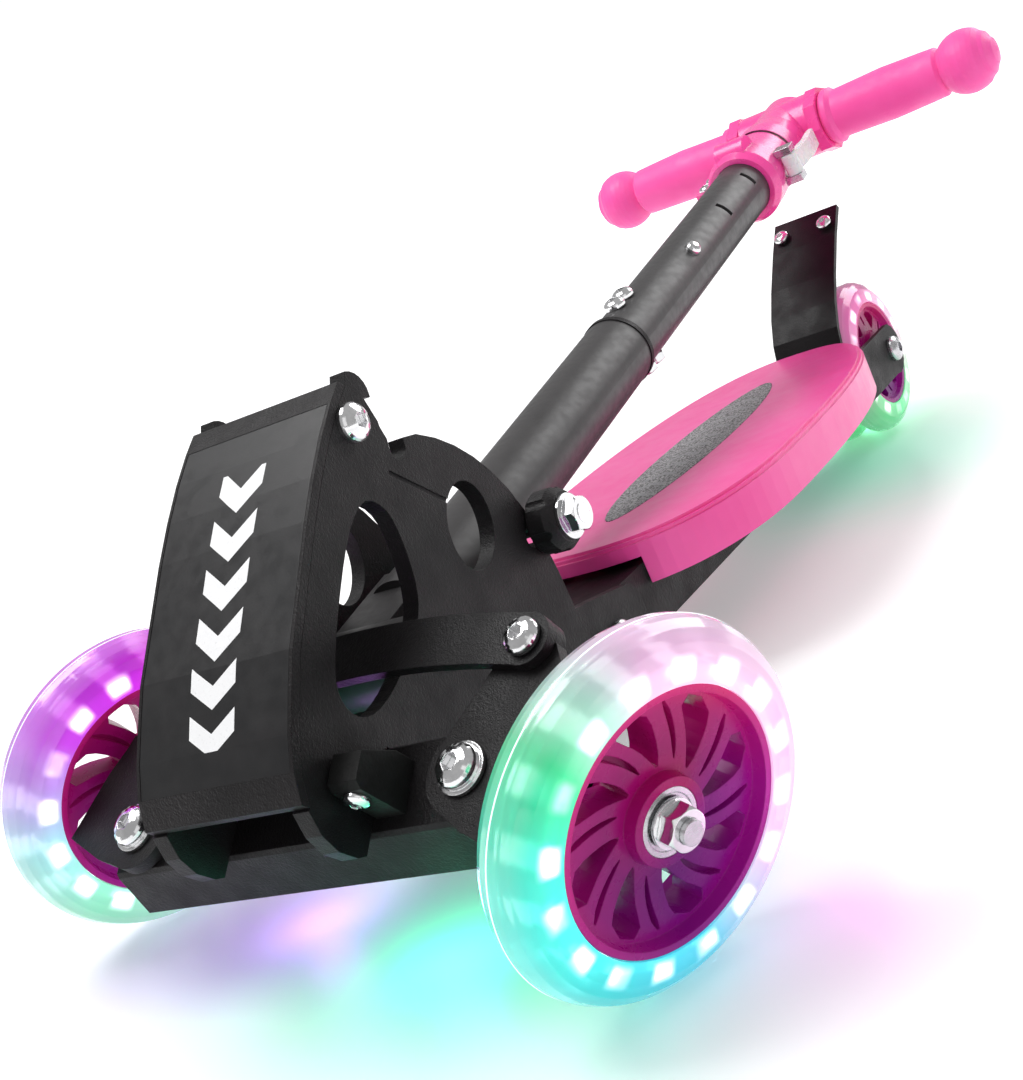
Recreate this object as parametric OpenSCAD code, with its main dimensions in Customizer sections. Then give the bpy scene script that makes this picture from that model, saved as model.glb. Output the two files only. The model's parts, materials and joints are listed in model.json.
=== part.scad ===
/* [Front wheels and steering] */
// Radius of each front tyre
front_r = 60; // [50:1:72]
// Width of each front tyre
front_w = 24; // [20:1:28]
// Half of the distance between the two king pins
king_x = 75.5; // [72:0.5:90]
// Forward tilt of the king pins, in degrees
king_tilt = 38; // [20:1:45]
// Turn of both front wheels about their king pins as it stands, in degrees
steer = 28; // [0:1:28]
// Distance from king pin to wheel centre, outwards
stub = 49; // [45:1:58]
// Distance from king pin to wheel centre, rearwards
trail = 15; // [8:1:18]
// Distance from king pin to tie bolt
arm = 44; // [38:1:46]

/* [Rear wheels] */
// Radius of the two rear tyres
rear_r = 45; // [38:1:47]
// Width of each rear tyre
rear_w = 20; // [16:1:20]
// Distance of the rear axle behind the king pins
rear_y = 545; // [545:1:640]

/* [Side plates and cover] */
// Half of the gap between the two side plates
plate_in = 29; // [28:1:34]
// Thickness of each side plate
plate_t = 7; // [5:1:9]
// Radius of the lock arc on the side plates
arc_r = 77; // [76:1:80]

/* [Deck] */
// Half of the width of the deck
deck_half = 71; // [56:1:86]
// Distance of the front end of the deck behind the king pins
deck_front = 197; // [190:1:220]
// Distance of the rear end of the deck behind the king pins
deck_rear = 490; // [420:1:490]
// Height of the side skirt of the deck
deck_h = 21.5; // [18:0.5:26]

/* [Stem and handlebar] */
// Angle of the folded stem above the deck, in degrees
stem_rise = 10; // [8:0.5:16]
// Angle that the stem turns through when it is put up, in degrees
fold_turn = 65; // [55:0.5:70]
// Outer radius of the lower sleeve of the stem
sleeve_r = 17.2; // [16.8:0.2:20]
// Outer radius of the upper tube of the stem
tube_r = 15.8; // [14:0.2:15.8]
// Distance from the pivot to the top of the lower sleeve
sleeve_end = 247; // [220:1:247]
// Distance from the pivot to the mouth of the clamp collar
collar_at = 446; // [436:1:452]
// Distance from the pivot to the handlebar, pushed in
bar_at = 533; // [528:1:620]
// Distance that the handlebar pulls out
bar_travel = 140; // [80:5:140]
// Half of the distance between the two grip ends
bar_half = 115; // [100:1:150]
// Radius of the round grip ends
ball_r = 18; // [16:0.5:22]

/* [Fits] */
// Running clearance on the radius of every pin
run_gap = 0.05; // [0.03:0.01:0.08]
// Gap between parts that slide past each other
slide_gap = 0.4; // [0.3:0.05:0.6]
// Travel of the lock pin
lock_travel = 9; // [7:0.5:10]

/* [Hidden] */
$fn = 64;
king_w = 9;            // wheel centre below the pin reference
beam_top = 12;         // top of the beam over the reference
beam_low = -8;
pin_r = 4;             // king pins, axles and lock pin
pivot_y = 56;
pivot_z = 30.5;
lock_r = arc_r + pin_r + slide_gap;
hub_r = front_r * 0.7;
rear_hub_r = rear_r * 0.68;
rear_x = rear_w / 2 + 2;
wheel_low = front_r - 2;                 // ground below the reference
rear_z = rear_r - wheel_low;
deck_top = 12;
deck_wide = 297;          // where the deck is widest
deck_mid = 335;           // middle of the inlay
place_x = -5.4;
place_y = -271.2;

// Point of the wheel centre and its axle, in the body frame, for side s
function k_axis() = [0, -sin(king_tilt), cos(king_tilt)];
function k_back() = [0, cos(king_tilt), sin(king_tilt)];
function in_knuckle(s, p) = let (x = p[0] * s, y = p[1],
    a = x * cos(steer) + y * sin(steer), b = -x * sin(steer) + y * cos(steer))
    [s * king_x, 0, 0] + [a, 0, 0] + b * k_back() + p[2] * k_axis();
function axle_dir() = [cos(steer), 0, 0] - sin(steer) * k_back();
function up_dir(l, p) = [sin(l), cos(l) * sin(p), cos(l) * cos(p)];
// Crown of each tyre as points of (radius, half width)
front_crown = [for (p = [[0, 0.8], [0.6, 3.6], [2.4, 7], [6, 10]]) [front_r - p[0], p[1] * front_w / 24]];
rear_crown = [for (p = [[0, 2], [0.7, 4.2], [2.4, 6.6], [6, 9]]) [rear_r - p[0], p[1] * rear_w / 20]];
function low_of(c, n, crown, g) = c * g
    - max([for (p = crown) p[0] * sqrt(1 - pow(n * g, 2)) + p[1] * abs(n * g)]);
function low_three(g) = [
    low_of(in_knuckle(1, [stub, trail, -king_w]), axle_dir(), front_crown, g),
    low_of(in_knuckle(-1, [stub, trail, -king_w]), axle_dir(), front_crown, g),
    low_of([-rear_x, rear_y, rear_z], [1, 0, 0], rear_crown, g)];
// Lean and pitch of the body at which all three wheels stand on the floor
function stand(l, p, i) = i == 0 ? [l, p, low_three(up_dir(l, p))[0]] :
    let (h = low_three(up_dir(l, p)),
         dl = atan((h[0] - h[1]) / (2 * (king_x + stub))),
         dp = atan((h[2] - (h[0] + h[1]) / 2) / rear_y))
    stand(l - dl, p - dp, i - 1);
pose = stand(0, 0, 12);
lean = pose[0];
pitch = pose[1];
ride_h = -pose[2];

outer_x = plate_in + plate_t;
top_bolt_y = 57;
top_bolt_z = 116;

// Frames: body, inclined king pin plane, one knuckle, stem
module in_body() translate([place_x, place_y, ride_h]) rotate([pitch, -lean, 0]) children();
module in_tilt() in_body() rotate([king_tilt, 0, 0]) children();
module at_king(s) in_body() translate([s * king_x, 0, 0]) rotate([king_tilt, 0, 0])
    rotate([0, 0, -steer]) mirror([s > 0 ? 0 : 1, 0, 0]) children();
module at_wheel(s) at_king(s) translate([stub, trail, -king_w]) children();
module at_rear(s) in_body() translate([s * rear_x, rear_y, rear_z])
    mirror([s > 0 ? 0 : 1, 0, 0]) children();
module at_stem() in_body() translate([0, pivot_y, pivot_z]) rotate([stem_rise, 0, 0]) children();

module at_bar() at_stem() translate([0, bar_at, 0]) children();

// Solids of revolution and bars along X or Y
module rod_x(r, x0, x1, fn = 64) translate([x0, 0, 0]) rotate([0, 90, 0])
    cylinder(r = r, h = x1 - x0, $fn = fn);
module rod_y(r, y0, y1, fn = 64) translate([0, y0, 0]) rotate([-90, 0, 0])
    cylinder(r = r, h = y1 - y0, $fn = fn);
module spin_x(pts, fn = 72) rotate([0, 90, 0]) rotate_extrude($fn = fn) polygon(pts);
// Extrusion along X of a profile given as points of (y, z)
module slab_x(pts, x0, x1) translate([x0, 0, 0]) rotate([90, 0, 90])
    linear_extrude(x1 - x0) polygon(pts);
function arc(c, r, a0, a1, n) = [for (i = [0:n]) let (a = a0 + (a1 - a0) * i / n)
    [c[0] + r * cos(a), c[1] + r * sin(a)]];

function flipped(pts) = [for (i = [len(pts) - 1:-1:0]) pts[i]];

// A closed smooth curve through the points, in m steps between each two
function eased(pts, m = 3) = let (n = len(pts)) [for (i = [0:n - 1]) for (j = [0:m - 1])
    let (t = j / m, a = pts[(i + n - 1) % n], b = pts[i], c = pts[(i + 1) % n], d = pts[(i + 2) % n])
    b + (c - a) * t / 2 + (2 * a - 5 * b + 4 * c - d) * t * t / 2 + (3 * b - a - 3 * c + d) * t * t * t / 2];

// Dome-headed bolt along +Z with a six-sided socket; the head sits on z = 0
module dome_head(r, h) difference() {
    rotate_extrude($fn = 48) polygon(concat([[0, 0], [r, 0], [r, h * 0.3]],
        [for (i = [1:5]) [r * cos(i * 15), h * 0.3 + h * 0.7 * sin(i * 15) / sin(75)]], [[0, h]]));
    translate([0, 0, h * 0.45]) cylinder(r = r * 0.42, h = h, $fn = 6);
}
module hex_nut(r, h, bore) difference() {
    intersection() {
        cylinder(r = r, h = h, $fn = 6);
        rotate_extrude($fn = 48)
            polygon([[0, 0], [r * 0.93, 0], [r, h * 0.15], [r, h * 0.8], [r * 0.86, h], [0, h]]);
    }
    translate([0, 0, -1]) cylinder(r = bore, h = h + 2, $fn = 48);
}

// ---- Front wheels ----
// Closed outline of a tyre from its wall and its crown, the same on both sides
function tyre_outline(wall, crown) = let (half = concat(wall, flipped(crown)))
    concat([for (p = half) [p[0], -p[1]]], flipped(half));
module front_tyre() color("lightcyan") difference() {
    spin_x(tyre_outline([[hub_r + 0.1, front_w / 2], [hub_r + 3, front_w / 2],
        [hub_r + 8, front_w / 2 - 0.4]], front_crown), 96);
    spin_x([[hub_r - 1, -6.2], [hub_r + 5.2, -6.2], [hub_r + 5.2, 6.2], [hub_r - 1, 6.2]]);
}
module lamp_ring(r) color("white") difference() {
    rod_x(r + 5, -6, 6, 72);
    rod_x(r + 0.1, -7, 7, 72);
    for (i = [0:11]) rotate([30 * i, 0, 0]) translate([-3, -2, r + 3.6]) cube([6, 4, 4]);
}
// Curved window of the hub: half width grows with the radius
function swirl(r, r0, k) = k * (r - r0);
function petal(r0, r1, h0, h1, k, a) = concat(
    [for (i = [0:6]) let (t = i / 6, r = r0 + (r1 - r0) * t,
        w = (h0 + (h1 - h0) * t) * sqrt(max(0.12, 1 - pow(2 * t - 1, 4))))
        [r * cos(a + swirl(r, r0, k) + w), r * sin(a + swirl(r, r0, k) + w)]],
    [for (i = [6:-1:0]) let (t = i / 6, r = r0 + (r1 - r0) * t,
        w = (h0 + (h1 - h0) * t) * sqrt(max(0.12, 1 - pow(2 * t - 1, 4))))
        [r * cos(a + swirl(r, r0, k) - w), r * sin(a + swirl(r, r0, k) - w)]]);
module hub(r, w, seat, n) color("mediumvioletred") difference() {
    spin_x([[9, -seat], [14, -seat], [14.5, -6], [r - 3.4, -6.5], [r - 2.6, -w / 2 + 0.6],
        [r - 0.2, -w / 2 + 0.6], [r, -w / 2 + 1.5], [r, w / 2 - 1.5], [r - 0.2, w / 2 - 0.6],
        [r - 2.6, w / 2 - 0.6], [r - 3.4, 6.5], [14.5, 6], [14, seat], [9, seat]]);
    for (s = [-1, 1]) rod_x(11, s > 0 ? seat - 7.1 : -seat - 1, s > 0 ? seat + 1 : -seat + 7.1);
    for (i = [0:n - 1]) {
        translate([-w, 0, 0]) rotate([90, 0, 90])
            linear_extrude(2 * w) polygon(petal(16.5, r - 4.6, 5, 13.2 * 8 / n, 0.9, 360 / n * i));
        for (x = [-w, 3]) translate([x, 0, 0]) rotate([90, 0, 90])
            linear_extrude(w - 3) polygon(petal(18, r - 5.6, 2.4, 2.4, 0.9, 360 / n * (i + 0.5)));
    }
}
module bearings(seat) color("silver") for (s = [-1, 1]) translate([s * (seat - 3.5), 0, 0])
    spin_x([[pin_r + run_gap, -3.4], [6, -3.4], [6.2, -2.9], [9, -2.9], [9.2, -3.4], [10.9, -3.4],
        [10.9, 3.4], [9.2, 3.4], [9, 2.9], [6.2, 2.9], [6, 3.4], [pin_r + run_gap, 3.4]], 64);

module tyre_right() at_wheel(1) front_tyre();
module tyre_left() at_wheel(-1) front_tyre();
module lamps_right() at_wheel(1) lamp_ring(hub_r);
module lamps_left() at_wheel(-1) lamp_ring(hub_r);
module hub_right() at_wheel(1) hub(hub_r, front_w, 10.5, 8);
module hub_left() at_wheel(-1) hub(hub_r, front_w, 10.5, 8);
module bearings_right() at_wheel(1) bearings(10.5);
module bearings_left() at_wheel(-1) bearings(10.5);

// ---- Knuckles: plate over the beam, flange for the axle, arm for the tie bolt ----
module knuckle() color("dimgray") difference() {
    union() {
        translate([0, 0, beam_top + 0.2]) linear_extrude(5) union() {
            polygon([[-12, -9], [0, -15], [12, -17], [34, -17], [34, 10], [31, 28], [9, 47],
                [-8.5, 47], [-14, 6]]);
            circle(r = 15);
            translate([0, arm]) circle(r = 9);
        }
        translate([27, 0, 0]) slab_x([[3, -king_w], [27, -king_w], [27, 17.2], [3, 17.2]], 0, 5);
        translate([27, trail, -king_w]) rod_x(12, 0, 5);
        translate([22, 4, 0]) slab_x([[0, 4], [4, 4], [4, 17.2], [0, 17.2]], 0, 6);
        translate([22, 22, 0]) slab_x([[0, 4], [4, 4], [4, 17.2], [0, 17.2]], 0, 6);
    }
    translate([0, 0, 0]) cylinder(r = pin_r + run_gap, h = 30);
    translate([0, arm, 0]) cylinder(r = 3, h = 30);
    translate([0, trail, -king_w]) rod_x(pin_r + 0.1, 20, 40);
}
module axle_bolt() color("silver") translate([0, trail, -king_w]) {
    rod_x(pin_r, 27, stub + 20);
    rotate([0, 90, 0]) translate([0, 0, 21.4]) cylinder(r = 7, h = 5.5, $fn = 6);
}
module axle_nut() color("silver") translate([0, trail, -king_w]) {
    difference() {
        union() {
            rod_x(6, 32.1, stub - 10.8);
            rod_x(8, stub + 10.8, stub + 12);
        }
        rod_x(pin_r + 0.1, 20, 100);
    }
    translate([stub + 12.1, 0, 0]) rotate([0, 90, 0]) hex_nut(7.6, 6, pin_r + 0.1);
}
module tie_bolt() color("silver") translate([0, arm, 0]) {
    translate([0, 0, 9]) cylinder(r = 2.9, h = 13.4);
    translate([0, 0, 22.3]) dome_head(6.5, 4.5);
    translate([0, 0, 7.5]) hex_nut(5.4, 4.5, 3);
}
module knuckle_right() at_king(1) knuckle();
module knuckle_left() at_king(-1) knuckle();
module axle_right() at_king(1) axle_bolt();
module axle_left() at_king(-1) axle_bolt();
module axle_nut_right() at_king(1) axle_nut();
module axle_nut_left() at_king(-1) axle_nut();
module tie_bolt_right() at_king(1) tie_bolt();
module tie_bolt_left() at_king(-1) tie_bolt();

// Tie strap: a bowed flat bar between the two tie bolts
bow = 9;
bow_r = king_x * king_x / (2 * bow) + bow / 2;
module tie_strap() color("dimgray") in_tilt()
    translate([arm * sin(steer), arm * cos(steer), beam_top + 5.6]) difference() {
        union() {
            intersection() {
                translate([0, bow - bow_r, 0]) difference() {
                    cylinder(r = bow_r + 9, h = 4, $fn = 180);
                    translate([0, 0, -1]) cylinder(r = bow_r - 9, h = 6, $fn = 180);
                }
                translate([-king_x, -40, -1]) cube([2 * king_x, 80, 6]);
            }
            for (s = [-1, 1]) translate([s * king_x, 0, 0]) cylinder(r = 9.2, h = 4);
        }
        translate([king_x, 0, -1]) cylinder(r = 2.9 + run_gap, h = 6);
        translate([-king_x, 0, -1]) cylinder(r = 2.9 + 0.4, h = 6);
    }

// ---- Beam and king bolts ----
module front_beam() color("dimgray") in_tilt() difference() {
    union() {
        difference() {
            slab_x([[-15, beam_top - 1.5], [-13.5, beam_top], [15, beam_top], [16, beam_top - 1],
                [16, beam_low], [-20.5, beam_low], [-22, beam_low + 1.5]], -king_x - 12.5, king_x + 12.5);
            for (x = [-king_x - 9.5:(2 * king_x + 19) / 4:king_x]) translate([x, 0, 0])
                slab_x([[-14, beam_top - 3.5], [13, beam_top - 3.5], [13, -20], [-19, -20],
                    [-19, beam_low]], 0, (2 * king_x + 19) / 4 - 3);
        }
        for (s = [-1, 1]) translate([s * king_x, 0, beam_low]) cylinder(r = 9, h = beam_top - beam_low);
    }
    for (s = [-1, 1]) translate([s * king_x, 0, -20]) cylinder(r = pin_r + 0.1, h = 40);
}
module king_bolts() color("silver") in_tilt() for (s = [-1, 1]) translate([s * king_x, 0, 0]) {
    translate([0, 0, beam_low - 8]) cylinder(r = pin_r, h = 27.5 - beam_low);
    translate([0, 0, 17.6]) difference() {
        cylinder(r = 9, h = 1.4);
        translate([0, 0, -1]) cylinder(r = pin_r - 0.5, h = 4);
    }
    translate([0, 0, 19]) dome_head(7.6, 5.6);
}
module king_nuts() color("silver") in_tilt() for (s = [-1, 1])
    translate([s * king_x, 0, beam_low - 7]) hex_nut(7.4, 6.5, pin_r + 0.1);

// ---- Side plates ----
lobe_lock = stem_rise;
lobe_up = stem_rise + fold_turn;
function at_arc(r, a) = [pivot_y + r * cos(a), pivot_z + r * sin(a)];
cover_t = 3.5;         // the cover lies on the front edges of the plates
cover_line = [[-39.5, 24], [-36.5, 34], [-30.5, 44], [-23, 54], [-14, 65.5], [-4, 75.5], [6.5, 86],
    [17, 96.5], [29, 107.5], [41, 117.5], [52, 125.5], [60, 130.5]];
function shifted(pts, d) = [for (p = pts) [p[0] + d * 0.72, p[1] - d * 0.69]];
plate_line = concat(
    [[-21, -5], [-28, -2], [-34, 4], [-37.5, 12], [-38, 21]], shifted(cover_line, cover_t + 0.1),
    arc([64, 123.5], 9, 80, -15, 6), [[70.5, 110], at_arc(arc_r - 2, lobe_up + 3)],
    [for (a = [lobe_up - 9:-8:lobe_lock + 10]) at_arc(arc_r, a)],
    [at_arc(arc_r, lobe_lock + 7), at_arc(arc_r, lobe_lock - 7), at_arc(arc_r + 1, lobe_lock - 14)],
    [[134, 9], [160, 4], [176, 1], [180, -4], [180, -17], [174, -22], [120, -26], [60, -22], [20, -9],
     [2, -9]]);
module plate_outline() difference() {
    polygon(plate_line);
    // lock notches, upright and folded
    for (a = [lobe_up, lobe_lock]) translate([pivot_y, pivot_z]) rotate(a) {
        translate([lock_r - lock_travel, 0]) circle(r = pin_r + 0.4, $fn = 48);
        translate([lock_r - lock_travel, -pin_r - 0.4])
            square([40, 2 * pin_r + 0.8]);
    }
    // wide mouth of the upright notch
    translate([pivot_y, pivot_z]) rotate(lobe_up)
        polygon([[arc_r - 2, 3], [arc_r + 14, 11], [arc_r + 14, -7], [arc_r - 2, -3]]);
    // large half-moon window that the tie strap passes through
    polygon(eased([[47, 91], [34, 86], [17, 71], [2, 55], [-4, 45], [-2.5, 36], [6, 31], [20, 33],
        [36, 40], [47, 47.5], [53, 57], [56, 72], [55, 84]]));
    // oval window
    translate([95, 61.5]) rotate(-23) scale([0.8, 1]) circle(r = 16.7, $fn = 48);
}
module side_plate(s) color("dimgray") in_body() mirror([s > 0 ? 0 : 1, 0, 0]) difference() {
    translate([plate_in, 0, 0]) rotate([90, 0, 90]) linear_extrude(plate_t) plate_outline();
    translate([0, pivot_y, pivot_z]) rod_x(5.1, 0, 60);
    translate([0, top_bolt_y, top_bolt_z]) rod_x(4.2, 0, 60);
    for (y = [128, 156]) translate([0, y, -13]) rod_x(3.2, 0, 60);
    // the foot of the plate stands on the sloping top of the beam
    rotate([king_tilt, 0, 0]) translate([0, -40, -40]) cube([80, 56.2, 40 + beam_top + 0.05]);
    // embossed line
    translate([plate_in + plate_t - 0.6, 64, 94]) rotate([-41, 0, 0]) cube([2, 40, 1.8]);
}
module side_plate_right() side_plate(1);
module side_plate_left() side_plate(-1);

// ---- Front cover between the plates ----
module front_cover() color("dimgray") in_body() difference() {
    union() {
        slab_x(concat(cover_line, flipped(shifted(cover_line, cover_t))), -outer_x, outer_x);
        // ears between the plates for the top bolt
        for (s = [-1, 1]) slab_x(concat(shifted([[48, 122.5], [60, 130.5]], cover_t - 0.5),
            arc([top_bolt_y, top_bolt_z], 8, 45, -135, 6)), s * (plate_in - 3.5) - 3.2,
            s * (plate_in - 3.5) + 3.2);
    }
    translate([0, top_bolt_y, top_bolt_z]) rod_x(4.2, -60, 60);
    // shallow seat of the panel
    slab_x(concat(flipped(shifted(panel_line, -5)), shifted(panel_line, 0.6)), -outer_x + 1.4,
        outer_x - 1.4);
}
panel_line = [for (i = [1:len(cover_line) - 2]) cover_line[i]];
module cover_panel() color("black") in_body()
    slab_x(concat(flipped(shifted(panel_line, 0.1)), shifted(panel_line, 0.5)), -outer_x + 1.6,
        outer_x - 1.6);

// Bolts through both plates, with their nuts
module cross_bolt(y, z, r, x) translate([0, y, z]) {
    rod_x(r, -x - 5, x + 0.01);
    translate([x, 0, 0]) rotate([0, 90, 0]) dome_head(r + 3.2, r + 1.2);
}
module cross_nut(y, z, r, x) translate([-x - 0.1, y, z]) rotate([0, -90, 0]) hex_nut(r * 1.85, r, r + 0.1);
module plate_bolts() color("silver") in_body() {
    cross_bolt(top_bolt_y, top_bolt_z, 4, outer_x + 0.05);
    cross_nut(top_bolt_y, top_bolt_z, 4, outer_x);
}
module deck_bolts() color("silver") in_body() for (y = [128, 156], s = [-1, 1])
    translate([s * (outer_x + 0.05), y, -13]) rotate([0, s * 90, 0]) union() {
        dome_head(6, 4);
        translate([0, 0, -13.5]) cylinder(r = 3, h = 13.51);
    }
module stem_pivot() color("silver") in_body() {
    cross_bolt(pivot_y, pivot_z, 5, outer_x + 0.05);
    cross_nut(pivot_y, pivot_z, 5, outer_x);
}
// Rubber steering stops and their screws
module bump_blocks() color("black") in_tilt() for (s = [-1, 1]) mirror([s > 0 ? 0 : 1, 0, 0])
    difference() {
        translate([outer_x + 1.5, 0, beam_top + 0.1]) slab_x([[-9, 0], [9, 0], [9, 9], [3, 24],
            [-7, 24], [-9, 21]], 0, 12);
        translate([outer_x + 7.5, -20, beam_top + 16]) rod_y(2.2, 0, 40);
    }
module bump_screws() color("silver") in_tilt() for (s = [-1, 1]) translate([s * (outer_x + 7.5), -9.1,
    beam_top + 16]) {
        rotate([90, 0, 0]) dome_head(4.6, 3);
        rod_y(2, -0.01, 14);
    }

// ---- Deck, its inlay and the channel frame that carries it ----
// Deck outline: two half ovals that meet at the widest place; d is the inset
function oval(d, n = 2.5, m = 72) = [for (i = [0:m - 1]) let (t = 360 * i / m, c = cos(t),
    s = sin(t), a = s > 0 ? deck_rear - deck_wide : deck_wide - deck_front)
    [(deck_half - d) * sign(c) * pow(abs(c), 2 / n),
     deck_wide + (a - d) * sign(s) * pow(abs(s), 2 / n)]];
module deck() color("hotpink") in_body() difference() {
    union() {
        translate([0, 0, deck_top - deck_h]) linear_extrude(deck_h - 3) polygon(oval(0));
        translate([0, 0, deck_top - 3.01]) linear_extrude(1.61) polygon(oval(0.8));
        translate([0, 0, deck_top - 1.41]) linear_extrude(1.41) polygon(oval(2.4));
    }
    difference() {
        translate([0, 0, deck_top - deck_h - 1]) linear_extrude(deck_h - 4) polygon(oval(5));
        for (s = [-1, 1]) translate([s * 20 - 3, deck_front + 8, 0.1]) cube([6, 278, 9]);
        for (y = [240:60:420]) for (s = [-1, 1]) translate([s > 0 ? 36 : -86, y, -2])
            cube([50, 3, 12]);
    }
    // ways out for the frame at both ends
    for (y = [deck_front - 10, deck_rear - 30]) translate([-plate_in - 1, y, -40])
        cube([2 * plate_in + 2, 60, 43]);
    // pocket of the inlay
    translate([0, deck_mid, deck_top - 0.6]) linear_extrude(2)
        polygon(leaf(inlay_half + 0.2, inlay_long + 0.3));
}
inlay_half = 19;       // half width and half length of the inlay
inlay_long = 98;
function leaf(w, a) = [for (i = [0:35]) let (t = 10 * i) [w * cos(t) * (1 - 0.12 * pow(sin(t), 4)),
    a * sin(t)]];
module deck_inlay() color("darkslategray") in_body()
    translate([0, deck_mid, deck_top - 0.5]) linear_extrude(0.7) polygon(leaf(inlay_half, inlay_long));
module deck_frame() color("dimgray") in_body() difference() {
    union() {
        for (s = [-1, 1]) slab_x(concat([[62, -28], [66, 0], [rear_y - 55, 0]],
            arc([rear_y, rear_z], 15, 70, -110, 8), [[rear_y - 65, -28]]),
            s > 0 ? plate_in - 3.1 : -plate_in + 0.1, s > 0 ? plate_in - 0.1 : -plate_in + 3.1);
        translate([-plate_in + 1, 66, -3]) cube([2 * plate_in - 2, 412, 3]);
        for (y = [90, 190, 290, 390, 472]) translate([-plate_in + 1, y, -26])
            cube([2 * plate_in - 2, 3, 25]);
    }
    for (y = [128, 156]) translate([0, y, -13]) rod_x(3.1, -60, 60);
    translate([0, rear_y, rear_z]) rod_x(pin_r + 0.1, -60, 60);
    translate([0, fender_y, fender_z]) rod_x(2.6, -60, 60);
}
module rear_axle() color("silver") in_body() translate([0, rear_y, rear_z]) {
    rod_x(pin_r, -plate_in - 8, plate_in + 0.1);
    translate([plate_in + 0.05, 0, 0]) rotate([0, 90, 0]) dome_head(7.4, 5);
    translate([-plate_in - 0.05, 0, 0]) rotate([0, -90, 0]) hex_nut(7.4, 6, pin_r + 0.1);
    for (x = [[-plate_in + 3.2, -rear_x - 10], [-rear_x + 10, rear_x - 10], [rear_x + 10,
        plate_in - 3.2]]) difference() {
            rod_x(6, x[0] + 0.3, x[1] - 0.3);
            rod_x(pin_r + 0.1, -60, 60);
        }
}
module rear_tyre() color("lightcyan")
    spin_x(tyre_outline([[rear_hub_r + 0.1, rear_w / 2]], rear_crown));
module rear_tyre_right() at_rear(1) rear_tyre();
module rear_tyre_left() at_rear(-1) rear_tyre();
module rear_hub_right() at_rear(1) hub(rear_hub_r, rear_w, 9.6, 6);
module rear_hub_left() at_rear(-1) hub(rear_hub_r, rear_w, 9.6, 6);
module rear_bearings_right() at_rear(1) bearings(9.6);
module rear_bearings_left() at_rear(-1) bearings(9.6);

// ---- Brake fender over the rear wheels ----
fender_y = rear_y - 52;
fender_z = -7;
fender_line = [for (p = [[-48, 1], [-47.5, 9], [-45.6, 18], [-41, 29], [-31, 42], [-17, 55.5], [4, 73],
    [22, 86]]) [rear_y, rear_z] + p];
module brake_fender() color("black") in_body() difference() {
    union() {
        slab_x(concat(fender_line, [fender_line[7] + [-2, 2.6]], flipped([for (i = [1:6])
            fender_line[i] + [-2.6, 1.6]]), [fender_line[0] + [-4, 0]]), -20.5, 20.5);
        for (s = [-1, 1]) translate([s * 15, fender_y, fender_z]) rod_x(6, -4, 4);
    }
    translate([0, fender_y, fender_z]) rod_x(2.5 + run_gap, -60, 60);
    at_tip() cylinder(r = 2.2, h = 20, center = true);
}
module at_tip() for (s = [-1, 1]) translate([s * 14, rear_y + 10, rear_z + 80]) rotate([38, 0, 0])
    children();
module fender_pin() color("silver") in_body() translate([0, fender_y, fender_z]) {
    rod_x(2.5, -plate_in - 3, plate_in + 0.2);
    translate([plate_in + 0.1, 0, 0]) rotate([0, 90, 0]) dome_head(4.6, 3);
    translate([-plate_in - 0.1, 0, 0]) rotate([0, -90, 0]) hex_nut(4.8, 2.4, 2.5);
}
module fender_bolts() color("silver") in_body() at_tip() {
    translate([0, 0, 2.7]) dome_head(4.6, 3);
    translate([0, 0, -4]) cylinder(r = 2, h = 6.8);
}

// ---- Stem ----
module stem_foot() color("dimgray") at_stem() difference() {
    union() {
        rod_x(15, -plate_in + 0.6, plate_in - 0.6);
        translate([-13, 0, -14]) cube([26, 44, 28]);
        rod_y(sleeve_r, 30, sleeve_end);
    }
    rod_x(5 + run_gap, -60, 60);
    rod_y(tube_r + 0.15, 100, sleeve_end + 1);
    // slot that the lock pin slides in
    for (y = [lock_r - lock_travel, lock_r]) translate([0, y, 0]) rod_x(pin_r + slide_gap, -60, 60);
    translate([-60, lock_r - lock_travel, -pin_r - slide_gap]) cube([120, lock_travel,
        2 * (pin_r + slide_gap)]);
}
tube_bolts = [sleeve_end + 19, sleeve_end + 30];
module joint_ring() color("black") at_stem() difference() {
    rod_y(sleeve_r + 0.5, sleeve_end + 0.1, sleeve_end + 3);
    rod_y(tube_r + 0.1, 0, 400);
}
inner_r = tube_r - 1.9;
slot_steps = [53, 96];
// Frame of the snap button, a little above the side of the tube
module at_button() translate([0, collar_at - 109, 0]) rotate([0, -35, 0]) children();
module stem_tube() color("dimgray") at_stem() difference() {
    rod_y(tube_r, 182, collar_at + 30);
    rod_y(inner_r + slide_gap, 181, 600);
    for (y = tube_bolts) translate([0, y, -40]) cylinder(r = 3.1, h = 80);
    // button hole and two slots for the other heights
    at_button() rod_x(4, 0, 60);
    for (d = slot_steps) at_button() translate([8, d - 1.6, -5]) cube([20, 3.2, 10]);
}
module stem_bolts() color("silver") at_stem() for (y = tube_bolts)
    translate([0, y, 0]) {
        translate([0, 0, -tube_r - 5]) cylinder(r = 2.9, h = 2 * tube_r + 5.2);
        translate([0, 0, tube_r + 0.1]) dome_head(5.4, 4.4);
        translate([0, 0, -tube_r - 4.1]) hex_nut(5.2, 4, 3);
    }
collar_end = collar_at + 40;
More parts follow.
